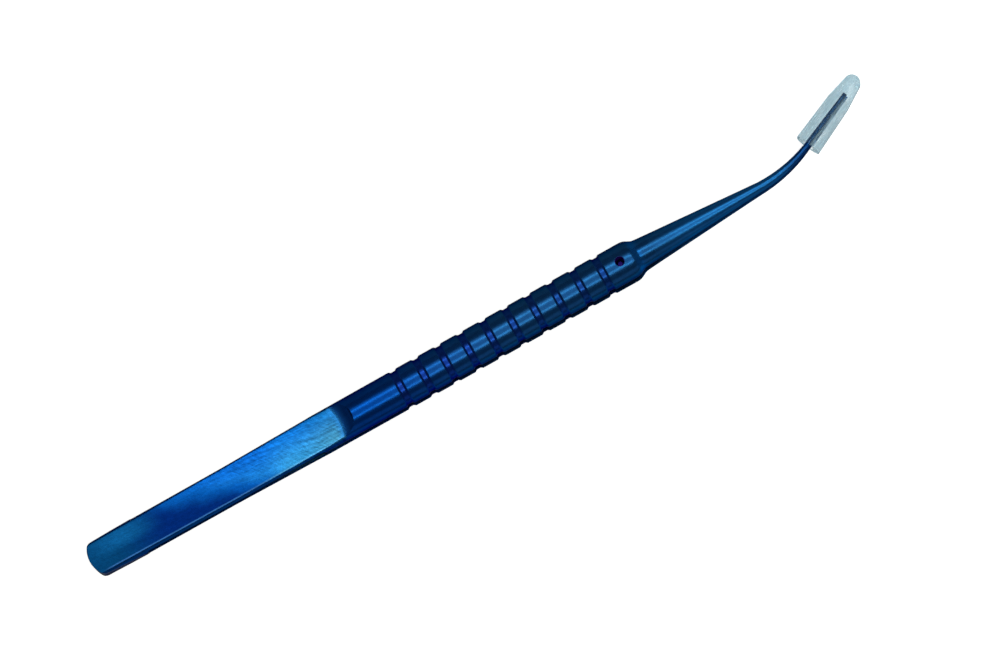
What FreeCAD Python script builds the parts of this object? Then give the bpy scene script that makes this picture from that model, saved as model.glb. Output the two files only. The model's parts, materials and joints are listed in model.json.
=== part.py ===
# Atraumatic micro forceps in blue anodised titanium, with a silicone guard over the tips.
# Two sprung arms are joined at the rear end, and a pin in the lower arm guides the upper one.
# Working frame: X from the rear end to the tips, Z across the two arms, which close on the
# plane z = 0, and Y towards the side that the tips bend to. Millimetres.
# The finished part is turned as it lies on a table, on the lower grip and the tip guard.
import FreeCAD, Part
import math
import os
from FreeCAD import Placement, Rotation, Vector

# Rear end and flat leaf of each arm
handle_radius = 4.0
rear_arc_radius = 5.5
rear_corner_width = 7.1
rear_corner_radius = 1.6
rear_taper_length = 15.0
rear_side_share = 0.42
flat_height = 2.44
flat_fall_deg = 0.55
leaf_thickness = 1.0
land_length = 10.0
relief_ramp = 1.5

# Bends of the arm, seen from the side
first_bend_start = 31.0
first_bend_radius = 40.0
leaf_rise_deg = 4.6
leaf_straight = 18.0
second_bend_radius = 25.0
grip_rise_deg = 0.5
third_bend_radius = 30.0
cone_dip_deg = 1.2

# Mill that leaves the run-out at the front of the flat
ramp_foot = 57.7
mill_radius = 14.0
mill_corner_radius = 4.0

# Grip and its turned grooves
grip_end = 124.4
first_groove = 72.1
groove_pitch = 5.19
groove_count = 10
groove_floor = 0.9
groove_mouth = 1.8
groove_depth = 0.32

# Guide pin near the front of the grip
pin_place = 122.9
pin_diameter = 1.5
pin_hole_diameter = 2.0
pin_seat_depth = 2.5
pin_recess = 3.1
pin_nose = 0.3

# Shoulder, cone and bent tip
shoulder_length = 3.6
cone_rear_radius = 3.0
cone_length = 26.9
cone_front_radius = 1.08
tip_bend_radius = 31.0
tip_bend_deg = 24.5
blade_length = 13.0
blade_rear_radius = 0.61
blade_end_radius = 0.43

# Jaws: two toothed rows with a channel above, one toothed rib below
jaw_half_gap = 1.0
jaw_length = 10.5
jaw_ramp = 2.0
jaw_clearance = 0.03
channel_width = 0.32
channel_depth = 0.22
rib_width = 0.22
rib_height = 0.16
tooth_pitch = 0.5
tooth_count = 17
tooth_depth = 0.12

# Silicone guard over both tips
guard_length = 17.4
guard_rear = 0.2
guard_waist = 10.8
guard_rear_width = 5.34
guard_waist_width = 4.72
guard_nose_radius = 1.7
guard_spread = 2.2
guard_lean_deg = 0.9
bore_depth = 14.4
bore_rear_width = 2.4
bore_front_width = 1.8
bore_spread = 2.1
guard_travel = 18.0

# Room for the cutting bodies, beyond the arm on every side
beyond = 12.0

leaf_rise = math.radians(leaf_rise_deg)
grip_rise = math.radians(grip_rise_deg)
cone_dip = math.radians(cone_dip_deg)
tip_bend = math.radians(tip_bend_deg)


def point(x, z):
    """A point of the side view, on the middle plane of the arm."""
    return Vector(x, 0, z)


def arc(start, middle, end):
    """An edge that is the arc through three points."""
    return Part.Arc(start, middle, end).toShape()


def chain(points):
    """Straight edges from each point to the next."""
    return [Part.makeLine(a, b) for a, b in zip(points, points[1:])]


def slab(edges):
    """A closed side view, drawn out across the whole width of the arm."""
    face = Part.Face(Part.Wire(edges))
    face.translate(Vector(0, -2 * beyond, 0))
    return face.extrude(Vector(0, 4 * beyond, 0))


def on_circle(centre, radius, angle):
    """A point of the side view on a bend, where the angle is the slope of the arm there."""
    return centre + Vector(math.sin(angle), 0, -math.cos(angle)) * radius


# Places along the middle line of the upper arm, worked out from the bends
first_bend_centre = point(first_bend_start, first_bend_radius)
leaf_start = on_circle(first_bend_centre, first_bend_radius, leaf_rise)
leaf_direction = Vector(math.cos(leaf_rise), 0, math.sin(leaf_rise))
leaf_end = leaf_start + leaf_direction * leaf_straight
grip_direction = Vector(math.cos(grip_rise), 0, math.sin(grip_rise))
second_bend_centre = leaf_end + Vector(math.sin(leaf_rise), 0, -math.cos(leaf_rise)) * second_bend_radius
grip_start = on_circle(second_bend_centre, -second_bend_radius, grip_rise)
third_bend_run = third_bend_radius * (math.sin(grip_rise) + math.sin(cone_dip))
grip_front = grip_start + grip_direction * ((grip_end - third_bend_run - grip_start.x) / grip_direction.x)
third_bend_centre = grip_front + Vector(math.sin(grip_rise), 0, -math.cos(grip_rise)) * third_bend_radius
cone_rear = on_circle(third_bend_centre, -third_bend_radius, -cone_dip)
cone_frame = Placement(cone_rear, Rotation(Vector(0, 1, 0), cone_dip_deg))
bend_start = shoulder_length + cone_length

# Hinge line at the front edge of the welded land, and the plane of the jaws through it
pivot = point(land_length, 0)
blade_rear = Vector(
    bend_start + tip_bend_radius * math.sin(tip_bend),
    tip_bend_radius * (1 - math.cos(tip_bend)),
    0,
)
blade_end = blade_rear + Vector(math.cos(tip_bend), math.sin(tip_bend), 0) * blade_length
tip_point = cone_frame.multVec(blade_end)
jaw_rise = math.atan2(jaw_half_gap, tip_point.x - pivot.x)
squeeze_angle = 2 * jaw_rise - jaw_clearance / (tip_point.x - pivot.x)


def grip_point(x):
    """The point of the upper grip's axis at this distance from the rear end."""
    return grip_start + grip_direction * ((x - grip_start.x) / grip_direction.x)


def jaw_point(x):
    """The point of the upper jaw's plane at this distance from the rear end."""
    return point(x, (x - pivot.x) * math.tan(jaw_rise))


def middle_line():
    """The middle line of the arm from its rear end to the shoulder."""
    first_middle = on_circle(first_bend_centre, first_bend_radius, leaf_rise / 2)
    second_middle = on_circle(second_bend_centre, -second_bend_radius, (leaf_rise + grip_rise) / 2)
    third_middle = on_circle(third_bend_centre, -third_bend_radius, (grip_rise - cone_dip) / 2)
    return [
        Part.makeLine(point(0, 0), point(first_bend_start, 0)),
        arc(point(first_bend_start, 0), first_middle, leaf_start),
        Part.makeLine(leaf_start, leaf_end),
        arc(leaf_end, second_middle, grip_start),
        Part.makeLine(grip_start, grip_front),
        arc(grip_front, third_middle, cone_rear),
    ]


def round_stock():
    """The bent round bar that the leaf and the grip are cut from."""
    rim = Part.Wire(Part.makeCircle(handle_radius, Vector(0, 0, 0), Vector(1, 0, 0)))
    return Part.Wire(middle_line()).makePipeShell([rim], True, True)


def turned_cone():
    """The smooth shoulder and the cone, turned about their own axis."""
    rear_axis = Vector(0, 0, 0)
    shoulder_rear = Vector(0, handle_radius, 0)
    shoulder_front = Vector(shoulder_length, cone_rear_radius, 0)
    cone_rim = Vector(bend_start, cone_front_radius, 0)
    cone_axis = Vector(bend_start, 0, 0)
    shoulder = Part.BezierCurve()
    shoulder.setPoles([
        shoulder_rear,
        shoulder_rear + Vector(shoulder_length / 2, 0, 0),
        shoulder_front - Vector(shoulder_length / 2, 0, 0),
        shoulder_front,
    ])
    profile = chain([rear_axis, shoulder_rear])
    profile.append(shoulder.toShape())
    profile += chain([shoulder_front, cone_rim, cone_axis, rear_axis])
    face = Part.Face(Part.Wire(profile))
    return face.revolve(Vector(0, 0, 0), Vector(1, 0, 0), 360)


def tip_section(place, turn_deg, radius):
    """One round section of the tip, square to its middle line."""
    rim = Part.Wire(Part.makeCircle(radius, Vector(0, 0, 0), Vector(1, 0, 0)))
    rim.Placement = Placement(place, Rotation(Vector(0, 0, 1), turn_deg))
    return rim


def bent_tip():
    """The tip from the end of the cone, through the bend and along the blade."""
    bend_steps = 5
    bend = []
    for step in range(bend_steps + 1):
        share = step / bend_steps
        turn = tip_bend * share
        place = Vector(
            bend_start + tip_bend_radius * math.sin(turn),
            tip_bend_radius * (1 - math.cos(turn)),
            0,
        )
        radius = cone_front_radius + (blade_rear_radius - cone_front_radius) * share
        bend.append(tip_section(place, math.degrees(turn), radius))
    blade = [
        tip_section(blade_rear, tip_bend_deg, blade_rear_radius),
        tip_section(blade_end, tip_bend_deg, blade_end_radius),
    ]
    return Part.makeLoft(bend, True, False).fuse(Part.makeLoft(blade, True, True))


def leaf_face(height):
    """The edges of a face along the leaf, at this height over the middle line."""
    bend_radius = first_bend_radius - height
    rear = point(-beyond, height)
    bend_rear = point(first_bend_start, height)
    bend_middle = on_circle(first_bend_centre, bend_radius, leaf_rise / 2)
    bend_front = on_circle(first_bend_centre, bend_radius, leaf_rise)
    reach = ramp_foot - (mill_radius - mill_corner_radius) - bend_front.x
    front = bend_front + leaf_direction * (reach / leaf_direction.x)
    edges = chain([rear, bend_rear])
    edges.append(arc(bend_rear, bend_middle, bend_front))
    edges += chain([bend_front, front])
    return edges, front


def milled_flat():
    """What the mill takes off the outside of the leaf, with its run-out towards the grip."""
    edges, front = leaf_face(flat_height)
    top = 2 * beyond
    edges += chain([front, point(front.x, top), point(-beyond, top), point(-beyond, flat_height)])
    floor_radius = mill_radius - mill_corner_radius
    lift = mill_corner_radius * (1 - math.sqrt(0.5))
    corner = Vector(floor_radius + mill_corner_radius * math.sqrt(0.5), 0, lift)
    floor_edge = Vector(floor_radius, 0, 0)
    rim = Vector(mill_radius, 0, mill_corner_radius)
    profile = chain([Vector(0, 0, 0), floor_edge])
    profile.append(arc(floor_edge, corner, rim))
    profile += chain([rim, Vector(mill_radius, 0, top), Vector(0, 0, top), Vector(0, 0, 0)])
    mill = Part.Face(Part.Wire(profile)).revolve(Vector(0, 0, 0), Vector(0, 0, 1), 360)
    mill.Placement = Placement(front, Rotation(Vector(0, 1, 0), -leaf_rise_deg))
    cut = slab(edges).fuse(mill)
    cut.rotate(Vector(0, 0, 0), Vector(0, 1, 0), flat_fall_deg)
    return cut


def inner_relief():
    """The slot milled into the inside of the leaf, which leaves it thin enough to spring."""
    height = flat_height - leaf_thickness
    bend_radius = first_bend_radius - height
    rear = point(land_length + relief_ramp, height)
    bend_rear = point(first_bend_start, height)
    bend_middle = on_circle(first_bend_centre, bend_radius, leaf_rise / 2)
    bend_front = on_circle(first_bend_centre, bend_radius, leaf_rise)
    front = bend_front + leaf_direction * ((leaf_end.x - bend_front.x) / leaf_direction.x)
    run_out = point(front.x + 2 * relief_ramp, -beyond)
    edges = chain([point(land_length, 0), rear, bend_rear])
    edges.append(arc(bend_rear, bend_middle, bend_front))
    edges += chain([bend_front, front, run_out, point(land_length, -beyond), point(land_length, 0)])
    cut = slab(edges)
    cut.rotate(pivot, Vector(0, 1, 0), flat_fall_deg)
    return cut


def inside_cut():
    """Everything on the far side of the arm's inner face, from the rear land to the jaw."""
    jaw_rear_x = tip_point.x - jaw_length
    ramp_rear = cone_frame.multVec(Vector((jaw_rear_x - jaw_ramp - cone_rear.x) / math.cos(cone_dip), 0, 0))
    jaw_rear = jaw_point(jaw_rear_x)
    jaw_front = jaw_point(tip_point.x + beyond)
    edges = middle_line()
    edges += chain([cone_rear, ramp_rear, jaw_rear, jaw_front])
    edges += chain([jaw_front, point(jaw_front.x, -2 * beyond), point(-beyond, -2 * beyond)])
    edges += chain([point(-beyond, -2 * beyond), point(-beyond, 0), point(0, 0)])
    return slab(edges)


def rear_outline():
    """The plan of the rear end: a shallow arc with rounded corners and slightly tapering sides."""
    half = rear_corner_width / 2
    corner_x = rear_arc_radius - math.sqrt(rear_arc_radius ** 2 - half ** 2)
    sag = (handle_radius - half) * rear_side_share
    middle_x = (rear_taper_length + corner_x) / 2
    side_end = Vector(rear_taper_length, handle_radius, 0)
    corner = Vector(corner_x, half, 0)
    flip = Vector(1, -1, 1)
    other_corner = Vector(corner.x * flip.x, corner.y * flip.y, 0)
    other_end = Vector(side_end.x * flip.x, side_end.y * flip.y, 0)
    edges = [
        arc(side_end, Vector(middle_x, handle_radius - sag, 0), corner),
        arc(corner, Vector(0, 0, 0), other_corner),
        arc(other_corner, Vector(middle_x, sag - handle_radius, 0), other_end),
    ]
    room = 2 * beyond
    front = tip_point.x + room
    edges += chain([
        other_end,
        Vector(other_end.x, -room, 0),
        Vector(front, -room, 0),
        Vector(front, room, 0),
        Vector(side_end.x, room, 0),
        side_end,
    ])
    face = Part.Face(Part.Wire(edges))
    face.translate(Vector(0, 0, -room))
    block = face.extrude(Vector(0, 0, 2 * room))
    corners = [
        edge for edge in block.Edges
        if abs(edge.BoundBox.XMax - corner_x) < 0.01 and edge.BoundBox.ZLength > room
    ]
    return block.makeFillet(rear_corner_radius, corners)


def groove_rings():
    """The rings that the lathe cuts round the grip."""
    floor_radius = handle_radius - groove_depth
    outer_radius = handle_radius + groove_depth
    wall = (groove_mouth - groove_floor) / 2
    outer_half = groove_floor / 2 + 2 * wall
    section = [
        Vector(-groove_floor / 2, floor_radius, 0),
        Vector(groove_floor / 2, floor_radius, 0),
        Vector(outer_half, outer_radius, 0),
        Vector(-outer_half, outer_radius, 0),
        Vector(-groove_floor / 2, floor_radius, 0),
    ]
    ring = Part.Face(Part.makePolygon(section)).revolve(Vector(0, 0, 0), Vector(1, 0, 0), 360)
    rings = []
    for number in range(groove_count):
        copy = ring.copy()
        place = grip_point(first_groove + groove_pitch * number)
        copy.Placement = Placement(place, Rotation(Vector(0, 1, 0), -grip_rise_deg))
        rings.append(copy)
    return Part.makeCompound(rings)


def plain_arm():
    """The upper arm without its pin hole and its teeth."""
    arm = round_stock().fuse(turned_cone_in_place())
    arm = arm.cut(groove_rings())
    arm = arm.cut(milled_flat())
    arm = arm.common(rear_outline())
    arm = arm.cut(inside_cut())
    return arm.cut(inner_relief())


def turned_cone_in_place():
    """The cone and the tip, moved to the front of the grip."""
    front = turned_cone().fuse(bent_tip())
    front.Placement = cone_frame
    return front


# Frame of the jaw: X along the blade to its end, Z into the upper jaw
jaw_tilt = Rotation(Vector(0, 1, 0), -math.degrees(jaw_rise))
jaw_frame = Placement(
    Vector(tip_point.x, tip_point.y, jaw_half_gap),
    jaw_tilt.multiply(Rotation(Vector(0, 0, 1), tip_bend_deg)),
)


def jaw_bar(width, low, high):
    """A straight bar along the jaw, between two heights over its plane."""
    bar = Part.makeBox(jaw_length, width, high - low, Vector(-jaw_length, -width / 2, low))
    bar.Placement = jaw_frame
    return bar


def tooth_grooves(base, width):
    """The V grooves between the teeth, cut down from a face at this height."""
    half = tooth_pitch / 2
    grooves = []
    for number in range(tooth_count):
        rear = -tooth_pitch * (number + 1.5)
        section = [
            Vector(rear - half, -width / 2, base),
            Vector(rear, -width / 2, base + tooth_depth),
            Vector(rear + half, -width / 2, base),
            Vector(rear, -width / 2, base - tooth_depth),
            Vector(rear - half, -width / 2, base),
        ]
        grooves.append(Part.Face(Part.makePolygon(section)).extrude(Vector(0, width, 0)))
    teeth = Part.makeCompound(grooves)
    teeth.Placement = jaw_frame
    return teeth


def mirrored(shape):
    """The same shape on the other side of the closing plane."""
    return shape.mirror(Vector(0, 0, 0), Vector(0, 0, 1))


def upper_arm():
    """The upper arm, with the through hole for the guide pin, two rows of teeth and their channel."""
    arm = plain_arm()
    axis = grip_point(pin_place)
    hole = Part.makeCylinder(pin_hole_diameter / 2, 2 * beyond, Vector(axis.x, 0, axis.z - beyond))
    arm = arm.cut(hole)
    arm = arm.cut(tooth_grooves(0, 4 * blade_rear_radius))
    return arm.cut(jaw_bar(channel_width, -channel_depth, channel_depth))


def lower_arm():
    """The lower arm, with the blind seat of the guide pin and one toothed rib."""
    rib = jaw_bar(rib_width, -rib_height, rib_height)
    arm = plain_arm().fuse(rib)
    arm = arm.cut(tooth_grooves(-rib_height, rib_width * 2))
    arm = mirrored(arm)
    axis = grip_point(pin_place)
    seat_bottom = Vector(axis.x, 0, -axis.z - pin_seat_depth)
    seat = Part.makeCylinder(pin_diameter / 2, pin_seat_depth + axis.z, seat_bottom)
    return arm.cut(seat)


def guide_pin():
    """The pin, pressed into the lower arm and reaching into the hole of the upper one."""
    axis = grip_point(pin_place)
    bottom = -axis.z - pin_seat_depth
    top = axis.z + handle_radius - pin_recess
    pin = Part.makeCylinder(pin_diameter / 2, top - bottom, Vector(axis.x, 0, bottom))
    nose = [edge for edge in pin.Edges if edge.BoundBox.ZMin > top - 0.01]
    return pin.makeChamfer(pin_nose, nose)


# Frame of the guard: X along the blades, origin where its mouth is
guard_mouth = cone_frame.multVec(blade_rear)
guard_frame = Placement(
    Vector(guard_mouth.x, guard_mouth.y, 0),
    Rotation(Vector(0, 0, 1), tip_bend_deg),
)


def flattened(outline, spread):
    """A turned shape, cut in half along its axis, with the halves moved apart by a flat-sided part."""
    half_face = Part.Face(Part.Wire(outline))
    low_face = half_face.copy()
    low_face.translate(Vector(0, 0, -spread / 2))
    other_face = low_face.copy()
    other_face.rotate(Vector(0, 0, 0), Vector(1, 0, 0), 180)
    other_face.translate(Vector(0, 0, -spread))
    side = Vector(0, 0, spread)
    middle = low_face.extrude(side).fuse(other_face.extrude(side))
    top = half_face.revolve(Vector(0, 0, 0), Vector(1, 0, 0), 180)
    bottom = half_face.revolve(Vector(0, 0, 0), Vector(1, 0, 0), -180)
    top.translate(Vector(0, 0, spread / 2))
    bottom.translate(Vector(0, 0, -spread / 2))
    return middle.fuse([top, bottom]).removeSplitter()


def tip_guard():
    """The soft guard: a flattened tube that narrows to a closed, rounded nose."""
    rear_half = guard_rear_width / 2
    waist_half = guard_waist_width / 2
    nose_centre = guard_length - guard_nose_radius
    run = nose_centre - guard_waist
    slope = math.asin(waist_half / math.hypot(run, waist_half))
    slope -= math.asin(guard_nose_radius / math.hypot(run, waist_half))
    middle = (math.pi / 2 - slope) / 2
    centre = Vector(nose_centre, 0, 0)
    shoulder = centre + Vector(math.sin(slope), math.cos(slope), 0) * guard_nose_radius
    round_middle = centre + Vector(math.cos(middle), math.sin(middle), 0) * guard_nose_radius
    nose = Vector(guard_length, 0, 0)
    outline = chain([
        nose,
        Vector(guard_rear, 0, 0),
        Vector(guard_rear, rear_half, 0),
        Vector(guard_waist, waist_half, 0),
        shoulder,
    ])
    outline.append(arc(shoulder, round_middle, nose))
    body = flattened(outline, guard_spread)
    body.rotate(Vector(0, 0, 0), Vector(0, 0, 1), guard_lean_deg)
    bore = flattened(chain([
        Vector(bore_depth, 0, 0),
        Vector(guard_rear - beyond, 0, 0),
        Vector(guard_rear - beyond, bore_rear_width / 2, 0),
        Vector(guard_rear, bore_rear_width / 2, 0),
        Vector(bore_depth, bore_front_width / 2, 0),
        Vector(bore_depth, 0, 0),
    ]), bore_spread)
    guard = body.cut(bore)
    guard.Placement = guard_frame
    return guard


def rest_placement(guard):
    """The turn and lift that lay the part on its lower grip and on its guard."""
    along = Vector(grip_direction.x, 0, -grip_direction.z)
    level = Vector(grip_direction.z, 0, grip_direction.x)
    grip_axis = Vector(grip_start.x, 0, -grip_start.z)
    low = 0
    high = 90
    while high - low > 0.001:
        roll = (low + high) / 2
        up = Rotation(along, roll).multVec(level)
        turn = Rotation(along, up.cross(along), up, "ZXY").inverted()
        table = grip_axis.dot(up) - handle_radius
        turned = guard.copy()
        turned.Placement = Placement(Vector(0, 0, 0), turn).multiply(guard.Placement)
        if turned.optimalBoundingBox(False, False).ZMin > table:
            low = roll
        else:
            high = roll
    return Placement(Vector(0, 0, -table), turn)


def part_placement(pieces):
    """The rest placement, with the origin under the middle of the part's box."""
    rest = rest_placement(pieces["tip_guard"])
    whole = Part.makeCompound(list(pieces.values()))
    whole.Placement = rest
    box = whole.optimalBoundingBox(False, False)
    middle = Vector((box.XMin + box.XMax) / 2, (box.YMin + box.YMax) / 2, box.ZMin)
    return Placement(rest.Base - middle, rest.Rotation)


def build():
    """The four pieces in the working frame."""
    return {
        "lower_arm": lower_arm(),
        "upper_arm": upper_arm(),
        "guide_pin": guide_pin(),
        "tip_guard": tip_guard(),
    }


def main():
    """Turns the pieces as they lie on a table and writes one file for each."""
    pieces = build()
    placement = part_placement(pieces)
    os.makedirs("parts", exist_ok=True)
    for name, shape in pieces.items():
        solid = shape.Solids[0]
        solid.Placement = placement.multiply(solid.Placement)
        solid.exportStep("parts/" + name + ".step")
        print(name, len(shape.Solids), solid.isValid(), round(solid.Volume, 2))


main()
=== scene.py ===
# Blue anodised micro forceps with a translucent tip guard, seen across their closing direction.
import json
import math

import bpy
from mathutils import Matrix, Vector

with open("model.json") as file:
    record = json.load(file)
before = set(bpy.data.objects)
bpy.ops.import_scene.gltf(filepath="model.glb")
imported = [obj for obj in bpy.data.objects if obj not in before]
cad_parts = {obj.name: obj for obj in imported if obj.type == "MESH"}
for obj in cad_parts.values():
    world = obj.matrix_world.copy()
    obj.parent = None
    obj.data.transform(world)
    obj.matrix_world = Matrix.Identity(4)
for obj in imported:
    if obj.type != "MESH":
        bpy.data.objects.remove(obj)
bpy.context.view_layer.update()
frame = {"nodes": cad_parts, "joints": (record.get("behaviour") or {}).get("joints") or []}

# The instrument's own directions, from its two joints
joints = {joint["name"]: joint for joint in frame["joints"]}
across = Vector(joints["squeeze"]["axis"]).normalized()
blade = Vector(joints["guard_slide"]["axis"]).normalized()
along = (blade - across * blade.dot(across)).normalized()
closing = along.cross(across)
HINGE_PLACE = 0.010
rear = Vector(joints["squeeze"]["pos_m"]) - along * HINGE_PLACE

# Camera: the photograph's view, mostly along the closing direction, in metres
CAMERA_DISTANCE = 1.518
CAMERA_FOCAL_MM = 270
CAMERA_SENSOR_MM = 36
CAMERA_REACH = 10
TARGET = (0.09484, 0.000125, 0.0)
TILT_SIDE_DEG = 9.5
TILT_REAR_DEG = 1.0
ROLL_DEG = 29.294

# Places on the CAD pieces that the finishes follow, in millimetres from the rear end
GRIP_AXIS_HEIGHT = 1.18
GRIP_AXIS_SLOPE = 0.00873
FIRST_GROOVE = 72.1
GROOVE_PITCH = 5.19
GROOVE_COUNT = 10
GROOVE_HALF_WIDTH = 0.86
GROOVE_RADII = (3.86, 3.97)
PIN_PLACE = 122.9
HOLE_RADII = (1.0, 1.03)
RAMP_PLACE = 58.23
RAMP_CURVE = 0.055
LEAF_HALF_WIDTH = 3.185
LEAF_FLARE = 0.0061
GUARD_MOUTH = (167.75, 2.79)
GUARD_SLOPE_DEG = 24.5
BORE_HALF_SPREAD = 1.05
BORE_RADIUS = 1.32
BORE_ENDS = (0.25, 15.0)

# Oxide colours of the leaf, each pair or row from the rear to the front, with a painted reflection of the
# lamp that brightens the leaf towards the ramp
LEAF_DEEP = ((0.0006, 0.019, 0.066), (0.0003, 0.008, 0.070))
LEAF_AZURE = (0.0008, 0.038, 0.190)
LEAF_LIT_LOWER = ((0.005, 0.083, 0.270), (0.0135, 0.122, 0.290), (0.022, 0.108, 0.200))
LEAF_LIT_UPPER = ((0.0015, 0.055, 0.275), (0.002, 0.068, 0.285), (0.003, 0.065, 0.215))
LEAF_PATCH = (0.0015, 0.038, 0.125)
LEAF_FOOT = (0.008, 0.080, 0.250)
# A painted highlight along the flat's lower edge, dimmer at the rear and brighter at the front
LEAF_EDGE_HIGHLIGHT = ((0.012, 0.052, 0.160), (0.034, 0.155, 0.330))
LEAF_SIDE = (0.002, 0.048, 0.200)

# Oxide colours of the ramp, the grip, the cone, the tip, the grooves, the pin's hole and the pin, and a
# painted highlight at the neck
RAMP_BLUES = ((0.009, 0.105, 0.420), (0.002, 0.044, 0.230))
RAMP_SIDE = (0.002, 0.046, 0.240)
GRIP_BLUES = ((0.0012, 0.040, 0.225), (0.0085, 0.062, 0.190))
NECK_HIGHLIGHT_BLUE = (0.0060, 0.095, 0.340)
CONE_BLUE = (0.0095, 0.095, 0.290)
TIP_BLUE = (0.006, 0.048, 0.190)
GROOVE_VIOLETS = ((0.005, 0.029, 0.205), (0.006, 0.038, 0.190))
# The hole's violet is raised as painted light that lifts the shade on its wall
HOLE_LIT_VIOLET = (0.07, 0.012, 0.36)
PIN_VIOLETS = ((0.016, 0.006, 0.12), (0.026, 0.010, 0.17))

# Each arm's tint at its rim, darker on the lower arm as painted shade, and a colour painted where the
# guard covers it: painted light on the lower arm, painted shade on the upper arm
LOWER_RIM_SHADED = (0.07, 0.11, 0.18)
UPPER_RIM = (0.3, 0.33, 0.38)
LOWER_GUARDED_PAINTED_LIGHT = (0.030, 0.110, 0.300)
UPPER_GUARDED_PAINTED_SHADE = (0.0018, 0.034, 0.112)

# Stretches along the handle, in millimetres, over which one colour passes into the next
DEEP_STRETCH = (4.0, 18.0)
LIT_MIDDLE_STRETCH = (39.0, 46.0)
LIT_FRONT_STRETCH = (47.0, 57.0)
FOOT_STRETCH = (56.2, RAMP_PLACE)
RAMP_STRETCH = (RAMP_PLACE, 59.9)
RAMP_END_STRETCH = (60.0, 61.4)
GRIP_STRETCH = (62.0, 100.0)
VIOLET_STRETCH = (80.0, 110.0)
NECK_START_STRETCH = (125.3, 126.3)
NECK_END_STRETCH = (126.3, 128.2)
CONE_STRETCH = (126.0, 142.0)
CONE_ROUGH_STRETCH = (127.0, 131.0)
TIP_STRETCH = (158.0, 166.0)
GUARDED_STRETCH = (167.6, 168.6)
# Where the painted edge highlight starts
EDGE_HIGHLIGHT_START = (1.5, 4.0)
MARKS_END = (56.8, 57.8)
RINGS_START = (59.0, 61.0)
ROUGH_STRETCH = (56.0, 61.0)
LEAF_EDGE_END = (56.0, 57.0)

# Stretches across the leaf and the ramp, in millimetres; a band also has its softness
LEAF_ACROSS = (-3.5, 3.5)
LEAF_EDGE_ACROSS = (0.5, 1.5)
RAMP_ACROSS = (2.6, 3.3)
SIDE_INSET = (-0.1, 0.0)
# The band of the painted edge highlight, in from the flat's edge
EDGE_HIGHLIGHT_BAND = (0.02, 0.3, 0.06)
PATCH_ALONG = (3.0, 13.0, 5.0)
PATCH_ACROSS = (-0.2, 3.4, 1.2)

# The leaf brightens along a slanted and uneven front, where its painted lamp reflection begins
FRONT_LEAN = 2.8
FRONT_UNEVENNESS = 10.0
AZURE_FRONT = (25.0, 36.0)
LIT_FRONT = (33.0, 41.0)
MARKS_FRONT = (30.0, 50.0)

# Roughness and relief
LEAF_ROUGHNESS = 0.24
GRIP_ROUGHNESS = 0.2
UNEVEN_ROUGHNESS = 0.08
HOLE_ROUGHNESS = 0.7
CONE_ROUGHNESS = 0.3
PIN_ROUGHNESS = (0.4, 0.55)
MARKS_STRENGTH = (0.35, 1.25)
MARK_SHADE = 0.19
MARK_RELIEF = 0.0005
RING_RELIEF = 0.004
RELIEF_DISTANCE = 0.001
EDGE_RADIUS = 0.0001
LEAF_EDGE_RADIUS = 0.0003

# Silicone of the guard
SILICONE_TINTS = ((0.67, 0.84, 0.91), (0.79, 0.92, 0.97))
SILICONE_IOR = 1.08
SILICONE_ROUGHNESS = (0.04, 0.10)
THROUGH_TINT = (0.56, 0.79, 0.90)
CLOUD_TINT = (0.48, 0.67, 0.78)
HAZE_LEAST = 0.08
HAZE_BELOW = 0.5
HAZE_ABOVE = 0.42
HAZE_NOSE = 0.46
STREAK_STRENGTH = (0.55, 1.4)


def place(x, y, z):
    """A point given in metres from the rear end: along the handle, to the tips' side, and up."""
    return rear + along * x + across * y + closing * z


side = math.radians(TILT_SIDE_DEG)
back = math.radians(TILT_REAR_DEG)
towards = closing * math.cos(side) * math.cos(back)
towards -= across * math.sin(side) * math.cos(back)
towards -= along * math.sin(back)
towards.normalize()
camera_point = place(*TARGET) + towards * CAMERA_DISTANCE


def make_camera():
    """The camera, rolled so that the handle lies across the picture as in the photograph."""
    level = (along - towards * along.dot(towards)).normalized()
    upright = towards.cross(level)
    roll = math.radians(ROLL_DEG)
    right = level * math.cos(roll) - upright * math.sin(roll)
    up = level * math.sin(roll) + upright * math.cos(roll)
    data = bpy.data.cameras.new("camera")
    data.lens = CAMERA_FOCAL_MM
    data.sensor_width = CAMERA_SENSOR_MM
    data.clip_end = CAMERA_REACH
    camera = bpy.data.objects.new("camera", data)
    bpy.context.scene.collection.objects.link(camera)
    turn = Matrix((right, up, towards)).transposed().to_4x4()
    camera.matrix_world = Matrix.Translation(camera_point) @ turn
    bpy.context.scene.camera = camera


make_camera()


# Small helpers for node trees
def feed(tree, socket, value):
    """Gives a socket a number or links it to another socket."""
    if isinstance(value, (int, float)):
        socket.default_value = value
    else:
        tree.links.new(value, socket)


def number(tree, operation, *values):
    """One step of arithmetic."""
    node = tree.nodes.new("ShaderNodeMath")
    node.operation = operation
    for socket, value in zip(node.inputs, values):
        feed(tree, socket, value)
    return node.outputs[0]


def times(tree, first, second):
    return number(tree, "MULTIPLY", first, second)


def larger(tree, first, second):
    return number(tree, "MAXIMUM", first, second)


def size_of(tree, value):
    return number(tree, "ABSOLUTE", value)


def distance(tree, first, second):
    """The length of the long side of a right-angled triangle."""
    squares = [number(tree, "POWER", value, 2.0) for value in (first, second)]
    return number(tree, "SQRT", number(tree, "ADD", *squares))


def ease(tree, value, low, high, start=0.0, end=1.0):
    """Goes smoothly from start to end while the value goes from low to high."""
    node = tree.nodes.new("ShaderNodeMapRange")
    node.interpolation_type = "SMOOTHSTEP"
    for name, amount in (("From Min", low), ("From Max", high), ("To Min", start), ("To Max", end)):
        node.inputs[name].default_value = amount
    tree.links.new(value, node.inputs["Value"])
    return node.outputs["Result"]


def band(tree, value, low, high, soft):
    """One between low and high, zero outside, with soft edges."""
    rising = ease(tree, value, low - soft, low + soft)
    falling = ease(tree, value, high - soft, high + soft, 1.0, 0.0)
    return times(tree, rising, falling)


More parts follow.
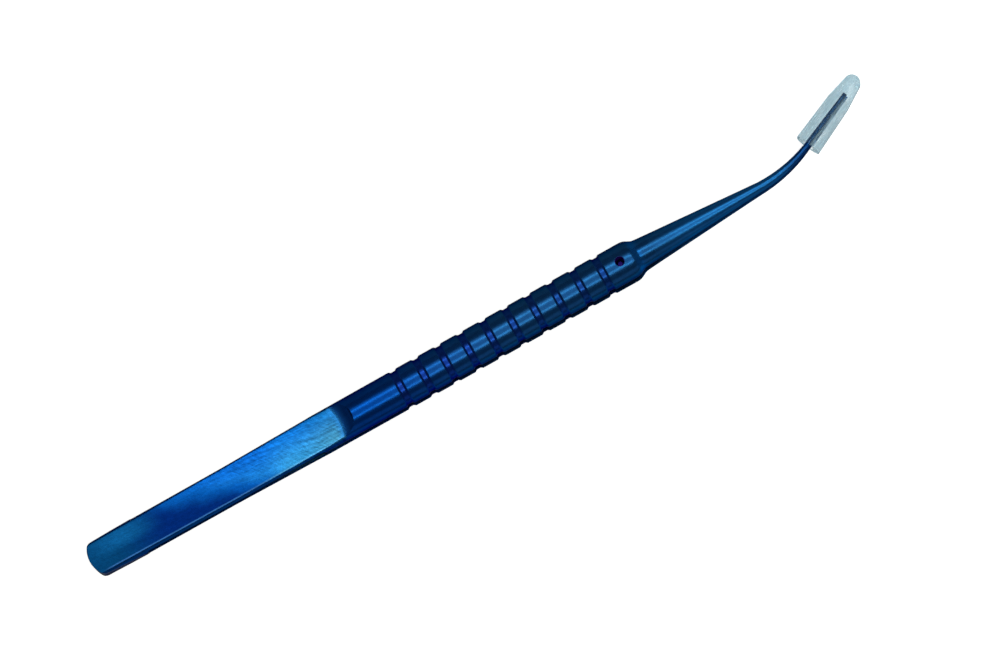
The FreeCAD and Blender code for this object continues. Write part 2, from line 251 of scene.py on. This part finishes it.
def blend(tree, amount, first, second):
    """Mixes two colours; each is three numbers or a socket."""
    node = tree.nodes.new("ShaderNodeMix")
    node.data_type = "RGBA"
    tree.links.new(amount, node.inputs["Factor"])
    for name, colour in (("A", first), ("B", second)):
        socket = [s for s in node.inputs if s.name == name and s.type == "RGBA"][0]
        if isinstance(colour, tuple):
            socket.default_value = (*colour, 1)
        else:
            tree.links.new(colour, socket)
    return [s for s in node.outputs if s.type == "RGBA"][0]


def dot(tree, vector, direction):
    """How far a vector reaches along a fixed direction."""
    node = tree.nodes.new("ShaderNodeVectorMath")
    node.operation = "DOT_PRODUCT"
    tree.links.new(vector, node.inputs[0])
    node.inputs[1].default_value = direction
    return node.outputs["Value"]


def own_place(tree):
    """The place of a point in the piece's own coordinates at rest, in metres."""
    return tree.nodes.new("ShaderNodeTexCoord").outputs["Object"]


def handle_axes(tree):
    """Millimetres along, across and above the middle plane, in the piece's own place at rest."""
    moved = tree.nodes.new("ShaderNodeVectorMath")
    moved.operation = "SUBTRACT"
    tree.links.new(own_place(tree), moved.inputs[0])
    moved.inputs[1].default_value = rear
    return [dot(tree, moved.outputs[0], direction * 1000) for direction in (along, across, closing)]


def join_axes(tree, x, y, z):
    node = tree.nodes.new("ShaderNodeCombineXYZ")
    for socket, value in zip(node.inputs, (x, y, z)):
        feed(tree, socket, value)
    return node.outputs[0]


def noise(tree, vector, scale, detail=2.0):
    node = tree.nodes.new("ShaderNodeTexNoise")
    node.inputs["Scale"].default_value = scale
    node.inputs["Detail"].default_value = detail
    tree.links.new(vector, node.inputs["Vector"])
    return node.outputs["Fac"]


def grain_of(tree, x, x_scale, y, y_scale, z=0.0, detail=2.0):
    """Noise drawn out along one of its directions."""
    return noise(tree, join_axes(tree, times(tree, x, x_scale), times(tree, y, y_scale), z), 1.0, detail)


def mix_shaders(tree, amount, first, second):
    node = tree.nodes.new("ShaderNodeMixShader")
    feed(tree, node.inputs[0], amount)
    tree.links.new(first, node.inputs[1])
    tree.links.new(second, node.inputs[2])
    return node.outputs[0]


def material(name):
    mat = bpy.data.materials.new(name)
    mat.use_nodes = True
    tree = mat.node_tree
    return mat, tree, tree.nodes["Principled BSDF"]


def along_row(tree, x, row):
    """The three colours of the bright part of the leaf, a painted lamp reflection over its oxide, one
    after the other.
    """
    first, middle, last = row
    colour = blend(tree, ease(tree, x, *LIT_MIDDLE_STRETCH), first, middle)
    return blend(tree, ease(tree, x, *LIT_FRONT_STRETCH), colour, last)


def leaf_colour(tree, x, y, wave, curved):
    """Oxide colours along the leaf, with a painted lamp reflection: deep at the rear, brighter towards the
    ramp.
    """
    # The lamp's reflection is painted in here, brightening the leaf from a slanted front
    front = ease(tree, wave, *LIT_FRONT)
    lower = along_row(tree, x, LEAF_LIT_LOWER)
    upper = along_row(tree, x, LEAF_LIT_UPPER)
    lit = blend(tree, ease(tree, y, *LEAF_ACROSS), lower, upper)
    deep = blend(tree, ease(tree, x, *DEEP_STRETCH), *LEAF_DEEP)
    leaf = blend(tree, ease(tree, wave, *AZURE_FRONT), deep, LEAF_AZURE)
    leaf = blend(tree, front, leaf, lit)
    patch = times(tree, band(tree, x, *PATCH_ALONG), band(tree, y, *PATCH_ACROSS))
    leaf = blend(tree, patch, leaf, LEAF_PATCH)
    leaf = blend(tree, ease(tree, curved, *FOOT_STRETCH), leaf, LEAF_FOOT)

    # A pale painted highlight follows the flat's lower edge, and the leaf's side has the grip's own blue
    half_width = number(tree, "MULTIPLY_ADD", x, LEAF_FLARE, LEAF_HALF_WIDTH)
    inset = number(tree, "SUBTRACT", half_width, size_of(tree, y))
    edge_highlight = times(tree, band(tree, inset, *EDGE_HIGHLIGHT_BAND), number(tree, "LESS_THAN", y, 0.0))
    edge_highlight = times(tree, edge_highlight, ease(tree, x, *EDGE_HIGHLIGHT_START))
    leaf = blend(tree, edge_highlight, leaf, blend(tree, front, *LEAF_EDGE_HIGHLIGHT))
    return blend(tree, ease(tree, inset, *SIDE_INSET, 1.0, 0.0), leaf, LEAF_SIDE)


def grip_colour(tree, x, y, curved):
    """The milled ramp, the turned grip, a painted highlight at the neck, the cone and the darker tip."""
    turned = blend(tree, ease(tree, x, *GRIP_STRETCH), *GRIP_BLUES)
    turned = blend(tree, ease(tree, x, *CONE_STRETCH), turned, CONE_BLUE)
    # A painted highlight brightens the neck where the cone begins
    neck_start = ease(tree, x, *NECK_START_STRETCH)
    neck_end = ease(tree, x, *NECK_END_STRETCH, 1.0, 0.0)
    turned = blend(tree, times(tree, neck_start, neck_end), turned, NECK_HIGHLIGHT_BLUE)
    turned = blend(tree, ease(tree, x, *TIP_STRETCH), turned, TIP_BLUE)
    ramp = blend(tree, ease(tree, curved, *RAMP_STRETCH), *RAMP_BLUES)
    ramp = blend(tree, ease(tree, size_of(tree, y), *RAMP_ACROSS), ramp, RAMP_SIDE)
    return blend(tree, ease(tree, x, *RAMP_END_STRETCH), ramp, turned)


def groove_mask(tree, x, y, z):
    """One in the floors of the turned grooves."""
    axis = number(tree, "MULTIPLY_ADD", x, GRIP_AXIS_SLOPE, GRIP_AXIS_HEIGHT)
    radius = distance(tree, y, number(tree, "SUBTRACT", size_of(tree, z), axis))
    turn = number(tree, "DIVIDE", number(tree, "SUBTRACT", x, FIRST_GROOVE), GROOVE_PITCH)
    beside = size_of(tree, number(tree, "SUBTRACT", turn, number(tree, "ROUND", turn)))
    offset = times(tree, beside, GROOVE_PITCH)
    in_row = band(tree, turn, -0.4, GROOVE_COUNT - 0.6, 0.01)
    groove = times(tree, number(tree, "LESS_THAN", offset, GROOVE_HALF_WIDTH), in_row)
    return times(tree, groove, ease(tree, radius, *GROOVE_RADII, 1.0, 0.0))


def polishing_marks(tree, x, y, cells, wave):
    """Long wavy marks that the polishing left on the leaf, with a finer slanted grain over them."""
    sway = number(tree, "MULTIPLY_ADD", x, 0.10, number(tree, "MULTIPLY_ADD", cells, 1.6, y))
    long_marks = grain_of(tree, x, 0.13, sway, 1.9)
    slant = number(tree, "MULTIPLY_ADD", y, 0.8, x)
    fine_marks = grain_of(tree, slant, 2.4, y, 0.7)
    marks = number(
        tree, "ADD",
        ease(tree, long_marks, 0.3, 0.7, -1.0, 1.0),
        ease(tree, fine_marks, 0.32, 0.68, -0.9, 0.9),
    )
    marks = times(tree, marks, ease(tree, wave, *MARKS_FRONT, *MARKS_STRENGTH))
    return times(tree, marks, ease(tree, x, *MARKS_END, 1.0, 0.0))


def anodised_roughness(tree, x, y, z, in_hole):
    """A satin leaf, a brighter turned grip and a softer cone."""
    rough = ease(tree, x, *ROUGH_STRETCH, LEAF_ROUGHNESS, GRIP_ROUGHNESS)
    uneven = noise(tree, join_axes(tree, x, y, z), 2.2, 3.0)
    rough = number(tree, "MULTIPLY_ADD", uneven, UNEVEN_ROUGHNESS, rough)
    rough = larger(tree, rough, times(tree, in_hole, HOLE_ROUGHNESS))
    return larger(tree, rough, ease(tree, x, *CONE_ROUGH_STRETCH, 0.0, CONE_ROUGHNESS))


def anodised_normal(tree, x, y, marks):
    """Broken edges, fine turning rings on the grip and the cone, and the leaf's marks."""
    rings = times(tree, grain_of(tree, x, 7.0, y, 0.12), ease(tree, x, *RINGS_START))
    relief = number(tree, "MULTIPLY_ADD", marks, MARK_RELIEF, times(tree, rings, RING_RELIEF))
    leaf_edge = times(tree, ease(tree, x, *LEAF_EDGE_END, 1.0, 0.0), ease(tree, y, *LEAF_EDGE_ACROSS))
    edge = tree.nodes.new("ShaderNodeBevel")
    radius = number(tree, "MULTIPLY_ADD", leaf_edge, LEAF_EDGE_RADIUS, EDGE_RADIUS)
    tree.links.new(radius, edge.inputs["Radius"])
    bump = tree.nodes.new("ShaderNodeBump")
    tree.links.new(edge.outputs[0], bump.inputs["Normal"])
    bump.inputs["Strength"].default_value = 1.0
    bump.inputs["Distance"].default_value = RELIEF_DISTANCE
    tree.links.new(relief, bump.inputs["Height"])
    return bump.outputs[0]


def anodised(name, rim, guard_painted_tone):
    """Blue anodised titanium, with its tint at the rim, where the lower arm's darker tint is painted
    shade, and a colour painted inside the guard for the light and shade there.
    """
    mat, tree, bsdf = material(name)
    x, y, z = handle_axes(tree)
    cells = noise(tree, join_axes(tree, x, y, z), 0.16, 3.0)
    lean = number(tree, "MULTIPLY_ADD", y, FRONT_LEAN, x)
    wave = number(tree, "MULTIPLY_ADD", cells, FRONT_UNEVENNESS, lean)
    curved = number(tree, "MULTIPLY_ADD", number(tree, "POWER", y, 2.0), RAMP_CURVE, x)
    on_grip = ease(tree, curved, RAMP_PLACE - 0.1, RAMP_PLACE + 0.1)
    leaf = leaf_colour(tree, x, y, wave, curved)
    colour = blend(tree, on_grip, leaf, grip_colour(tree, x, y, curved))
    violet = blend(tree, ease(tree, x, *VIOLET_STRETCH), *GROOVE_VIOLETS)
    colour = blend(tree, groove_mask(tree, x, y, z), colour, violet)
    from_pin = distance(tree, number(tree, "SUBTRACT", x, PIN_PLACE), y)
    in_hole = ease(tree, from_pin, *HOLE_RADII, 1.0, 0.0)
    # The hole's wall is violet, raised as painted light over its shade
    colour = blend(tree, in_hole, colour, HOLE_LIT_VIOLET)
    # Inside the guard the colour is painted: lighter on the lower arm as painted light, darker on the
    # upper arm as painted shade
    colour = blend(tree, ease(tree, x, *GUARDED_STRETCH), colour, guard_painted_tone)

    # The marks and a fine mottle vary the colour's brightness
    marks = polishing_marks(tree, x, y, cells, wave)
    mottle = noise(tree, join_axes(tree, x, times(tree, y, 2.0), z), 0.9, 4.0)
    shade = ease(tree, mottle, 0.25, 0.75, 0.9, 1.1)
    shade = times(tree, shade, number(tree, "MULTIPLY_ADD", marks, MARK_SHADE, 1.0))
    shaded = tree.nodes.new("ShaderNodeHueSaturation")
    tree.links.new(colour, shaded.inputs["Color"])
    tree.links.new(shade, shaded.inputs["Value"])
    tree.links.new(shaded.outputs[0], bsdf.inputs["Base Color"])
    bsdf.inputs["Metallic"].default_value = 1.0
    bsdf.inputs["Specular Tint"].default_value = (*rim, 1)
    tree.links.new(anodised_roughness(tree, x, y, z, in_hole), bsdf.inputs["Roughness"])
    tree.links.new(anodised_normal(tree, x, y, marks), bsdf.inputs["Normal"])
    return mat


def pin_metal():
    """The guide pin, anodised dark, with faint turning marks."""
    mat, tree, bsdf = material("pin_dark")
    x, y, z = handle_axes(tree)
    grain = noise(tree, join_axes(tree, x, y, times(tree, z, 6.0)), 3.0, 3.0)
    tree.links.new(blend(tree, grain, *PIN_VIOLETS), bsdf.inputs["Base Color"])
    bsdf.inputs["Metallic"].default_value = 1.0
    tree.links.new(ease(tree, grain, 0.2, 0.8, *PIN_ROUGHNESS), bsdf.inputs["Roughness"])
    return mat


def guard_axes(tree, x, y):
    """Millimetres along the guard from its mouth, and across it."""
    turn = math.radians(GUARD_SLOPE_DEG)
    dx = number(tree, "SUBTRACT", x, GUARD_MOUTH[0])
    dy = number(tree, "SUBTRACT", y, GUARD_MOUTH[1])
    length = number(tree, "MULTIPLY_ADD", dy, math.sin(turn), times(tree, dx, math.cos(turn)))
    width = number(tree, "MULTIPLY_ADD", dx, -math.sin(turn), times(tree, dy, math.cos(turn)))
    return length, width


def haze_amount(tree, length, width, z):
    """Clear over the blades, cloudy along both sides and in the nose, in faint streaks."""
    below = ease(tree, width, -1.1, -0.35, HAZE_BELOW, HAZE_LEAST)
    above = ease(tree, width, 0.15, 0.5, HAZE_LEAST, HAZE_ABOVE)
    nose = ease(tree, length, 15.1, 16.3, HAZE_LEAST, HAZE_NOSE)
    haze = larger(tree, larger(tree, below, above), nose)
    streak = grain_of(tree, length, 0.35, width, 1.6, z, 3.0)
    return times(tree, haze, ease(tree, streak, 0.3, 0.7, *STREAK_STRENGTH))


def silicone():
    """Cloudy silicone: bent light through its skin, with a pale haze, and no seam at its bore."""
    mat, tree, bsdf = material("silicone")
    x, y, z = handle_axes(tree)
    grain = noise(tree, join_axes(tree, x, y, z), 0.9, 4.0)
    tree.links.new(blend(tree, grain, *SILICONE_TINTS), bsdf.inputs["Base Color"])
    bsdf.inputs["Transmission Weight"].default_value = 1.0
    bsdf.inputs["IOR"].default_value = SILICONE_IOR
    tree.links.new(ease(tree, grain, 0.2, 0.8, *SILICONE_ROUGHNESS), bsdf.inputs["Roughness"])
    through = tree.nodes.new("ShaderNodeBsdfTranslucent")
    through.inputs["Color"].default_value = (*THROUGH_TINT, 1)
    cloud = tree.nodes.new("ShaderNodeBsdfDiffuse")
    cloud.inputs["Color"].default_value = (*CLOUD_TINT, 1)
    haze = mix_shaders(tree, 0.5, through.outputs[0], cloud.outputs[0])
    length, width = guard_axes(tree, x, y)
    skin = mix_shaders(tree, haze_amount(tree, length, width, z), bsdf.outputs[0], haze)

    # The bore hugs the blades, so its wall lets light through unbent
    rise = larger(tree, number(tree, "SUBTRACT", size_of(tree, z), BORE_HALF_SPREAD), 0.0)
    near = number(tree, "LESS_THAN", distance(tree, width, rise), BORE_RADIUS)
    bore = times(tree, near, band(tree, length, *BORE_ENDS, 0.02))
    clear = tree.nodes.new("ShaderNodeBsdfTransparent")
    whole = mix_shaders(tree, bore, skin, clear.outputs[0])
    tree.links.new(whole, tree.nodes["Material Output"].inputs["Surface"])
    return mat


finish = {
    "lower_arm": anodised("anodised_lower", LOWER_RIM_SHADED, LOWER_GUARDED_PAINTED_LIGHT),
    "upper_arm": anodised("anodised_upper", UPPER_RIM, UPPER_GUARDED_PAINTED_SHADE),
    "guide_pin": pin_metal(),
    "tip_guard": silicone(),
}
for name, mat in finish.items():
    for slot in frame["nodes"][name].material_slots:
        slot.material = mat

# Floor: white to the eye, plain pale under the lamps, and darker in reflections as painted shade
FLOOR_SIZE = 6.0
FLOOR_PALE = (0.8, 0.8, 0.8)
FLOOR_SHADE_IN_REFLECTIONS = (0.4, 0.4, 0.4)
FLOOR_GLOW = 0.7
BOUNCE_STRETCH = (-0.02, 0.0)
BOUNCE_GLOW = (0.34, 0.02)
bpy.ops.mesh.primitive_plane_add(size=FLOOR_SIZE)
floor = bpy.context.object
floor.name = "floor"


def floor_white():
    """Glows for the camera and through the guard; in reflections it is darker as painted shade, and glows
    mainly away from the bend's side.
    """
    mat, tree, bsdf = material("floor_white")
    bsdf.inputs["Roughness"].default_value = 1.0
    bsdf.inputs["Specular IOR Level"].default_value = 0.0
    path = tree.nodes.new("ShaderNodeLightPath")
    glossy = path.outputs["Is Glossy Ray"]
    # Reflections see a darker floor: painted shade
    tree.links.new(blend(tree, glossy, FLOOR_PALE, FLOOR_SHADE_IN_REFLECTIONS), bsdf.inputs["Base Color"])
    seen = larger(tree, path.outputs["Is Camera Ray"], path.outputs["Is Transmission Ray"])
    bounce = ease(tree, dot(tree, own_place(tree), across), *BOUNCE_STRETCH, *BOUNCE_GLOW)
    glow = larger(tree, times(tree, seen, FLOOR_GLOW), times(tree, glossy, bounce))
    bsdf.inputs["Emission Color"].default_value = (1, 1, 1, 1)
    tree.links.new(glow, bsdf.inputs["Emission Strength"])
    return mat


floor.data.materials.append(floor_white())

# Lamps: sizes and distances in metres, and radiance is how bright each one looks
LAMP_DISTANCE = 1.6
LAMP_LENGTH = 1.9
LAMP_SHIFT = 0.45
WARM = (1.0, 1.0, 0.75)
LEAF_LAMP_SIZE = (0.20, 0.34)
LEAF_LAMP_LEAN_DEG = -4.3
LEAF_LAMP_RADIANCE = 2.4
SKY_COLOUR = (0.9, 0.95, 1.0)
SKY_STRENGTH = 0.22
middle = place(0.11, 0, 0.006)
leaf_spot = place(0.046, 0, 0.0035)


def facing(name, point, target, size, radiance, colour=(1, 1, 1)):
    """A rectangular lamp at the point that faces the target, its length along the handle."""
    data = bpy.data.lights.new(name, "AREA")
    data.shape = "RECTANGLE"
    data.size = size[0]
    data.size_y = size[1]
    data.energy = math.pi * size[0] * size[1] * radiance
    data.color = colour
    light = bpy.data.objects.new(name, data)
    bpy.context.scene.collection.objects.link(light)
    z_axis = (point - target).normalized()
    x_axis = (along - z_axis * along.dot(z_axis)).normalized()
    y_axis = z_axis.cross(x_axis)
    turn = Matrix((x_axis, y_axis, z_axis)).transposed().to_4x4()
    light.matrix_world = Matrix.Translation(point) @ turn


def mirror_point(spot, lean_deg, reach):
    """Where the camera's view is thrown by a mirror at the spot that leans along the handle."""
    lean = math.radians(lean_deg)
    normal = closing * math.cos(lean) + along * math.sin(lean)
    view = (camera_point - spot).normalized()
    out = normal * 2 * normal.dot(view) - view
    return spot + out * reach


def long_lamp(name, angle_deg, width, radiance, colour=(1, 1, 1)):
    """A lamp as long as the handle's whole reflection, turned about the handle by the angle."""
    turn = math.radians(angle_deg)
    outward = closing * math.cos(turn) + across * math.sin(turn)
    target = middle + along * LAMP_SHIFT
    facing(name, target + outward * LAMP_DISTANCE, target, (LAMP_LENGTH, width), radiance, colour)


long_lamp("panel", -3.5, 1.9, 1.0)
long_lamp("strip_upper", 12.0, 0.2, 4.4, WARM)
long_lamp("strip_lower", -27.5, 0.2, 4.4, WARM)
long_lamp("side_low", -86.0, 0.7, 0.35)
leaf_lamp_point = mirror_point(leaf_spot, LEAF_LAMP_LEAN_DEG, LAMP_DISTANCE)
facing("leaf_box", leaf_lamp_point, leaf_spot, LEAF_LAMP_SIZE, LEAF_LAMP_RADIANCE)

world = bpy.data.worlds.new("world")
bpy.context.scene.world = world
world.use_nodes = True
sky = world.node_tree.nodes["Background"]
sky.inputs["Color"].default_value = (*SKY_COLOUR, 1)
sky.inputs["Strength"].default_value = SKY_STRENGTH

bpy.context.scene.view_settings.view_transform = "Standard"
